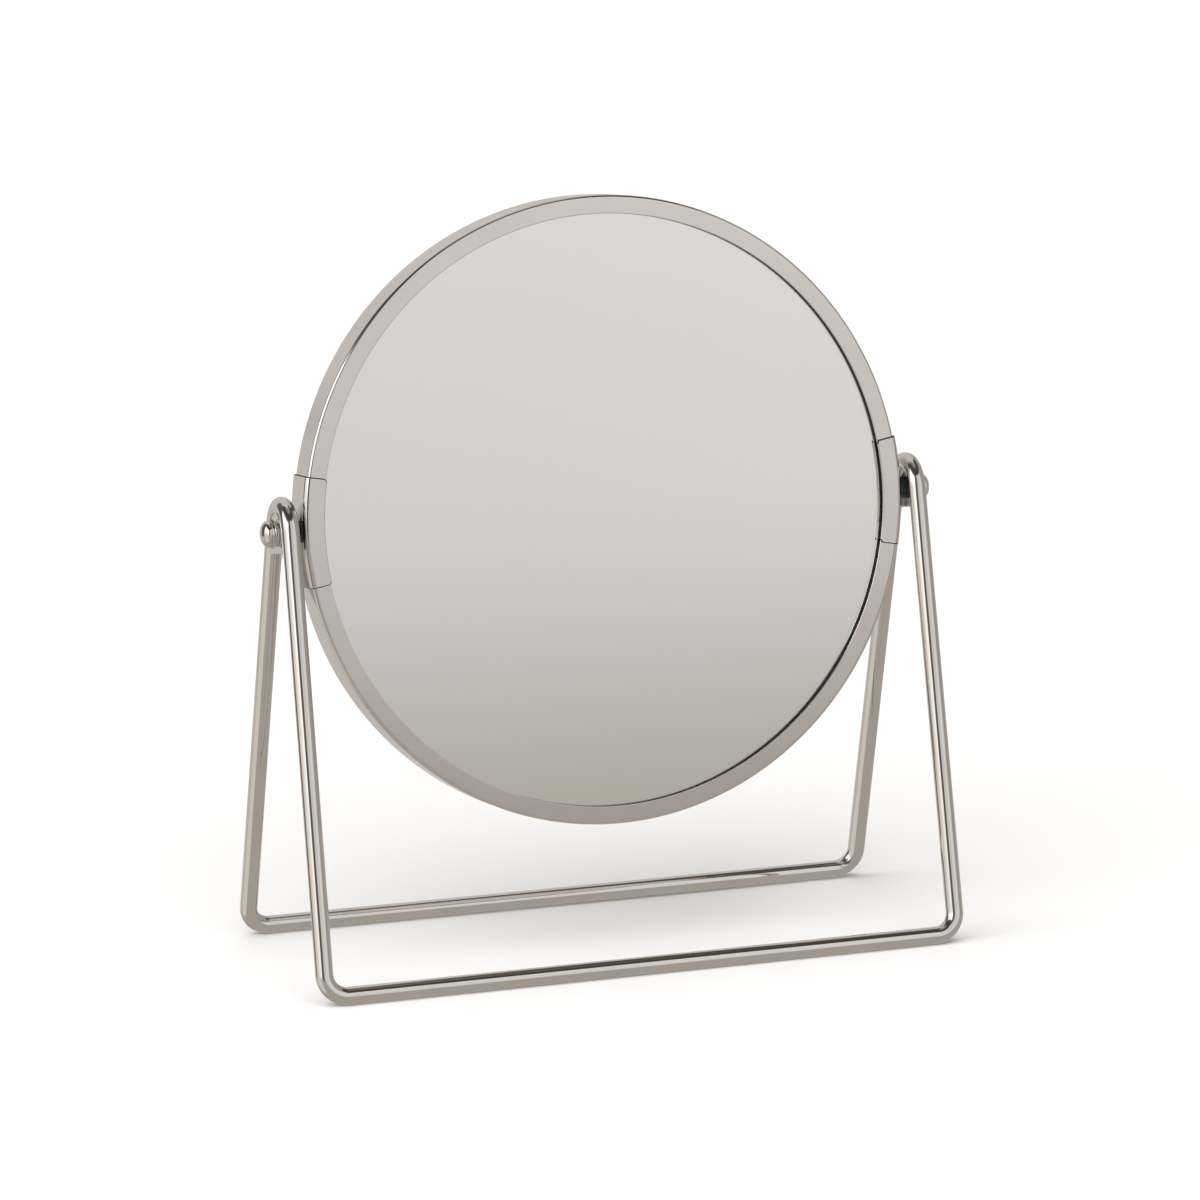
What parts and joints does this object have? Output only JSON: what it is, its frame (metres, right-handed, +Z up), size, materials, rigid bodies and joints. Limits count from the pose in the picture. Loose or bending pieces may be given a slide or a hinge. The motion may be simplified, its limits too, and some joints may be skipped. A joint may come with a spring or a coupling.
{
  "type": "table mirror",
  "caption": "Round double-sided mirror in a chrome channel rim, swivelling on two rivets in a tent-shaped stand bent from one loop of wire.",
  "frame": {"origin": "on the table, midway between the two base bars and straight below the pivot axis", "axes": "+Z up, +X along the pivot axis to the viewer's right, +Y away from the viewer"},
  "size_m": [0.1916, 0.0778, 0.2052],
  "materials": {
    "stand_chrome": "polished",
    "rim_chrome": "polished",
    "pivot_chrome": "polished",
    "zinc_steel": "zinc plated",
    "mirror_glass": "clear",
    "silver": "silvered",
    "card": "pressed fibre",
    "foam": "closed-cell foam",
    "spacer_plastic": "moulded",
    "bush_plastic": "moulded"
  },
  "bodies": {
    "stand": {"stand_wire": "stand_chrome", "pivot_plate_left": "stand_chrome", "pivot_plate_right": "stand_chrome", "spring_washer_left": "pivot_chrome", "spring_washer_right": "pivot_chrome"},
    "mirror_head": {"rim_band": "rim_chrome", "plain_mirror_glass": "mirror_glass", "magnifying_mirror_glass": "mirror_glass", "plain_mirror_silvering": "silver", "magnifying_mirror_silvering": "silver", "backing_card": "card", "centre_pad": "foam", "spacer_ring": "spacer_plastic", "rim_clip_left": "rim_chrome", "pivot_rivet_left": "pivot_chrome", "flat_washer_left": "pivot_chrome", "pivot_bush_left": "bush_plastic", "backing_washer_left": "zinc_steel", "rim_clip_right": "rim_chrome", "pivot_rivet_right": "pivot_chrome", "flat_washer_right": "pivot_chrome", "pivot_bush_right": "bush_plastic", "backing_washer_right": "zinc_steel"}
  },
  "joints": [
    {"name": "head_swivel", "type": "hinge", "parent": "stand", "child": "mirror_head", "pos_m": [0, 0, 0.1202], "axis": [1, 0, 0], "continuous": true}
  ]
}
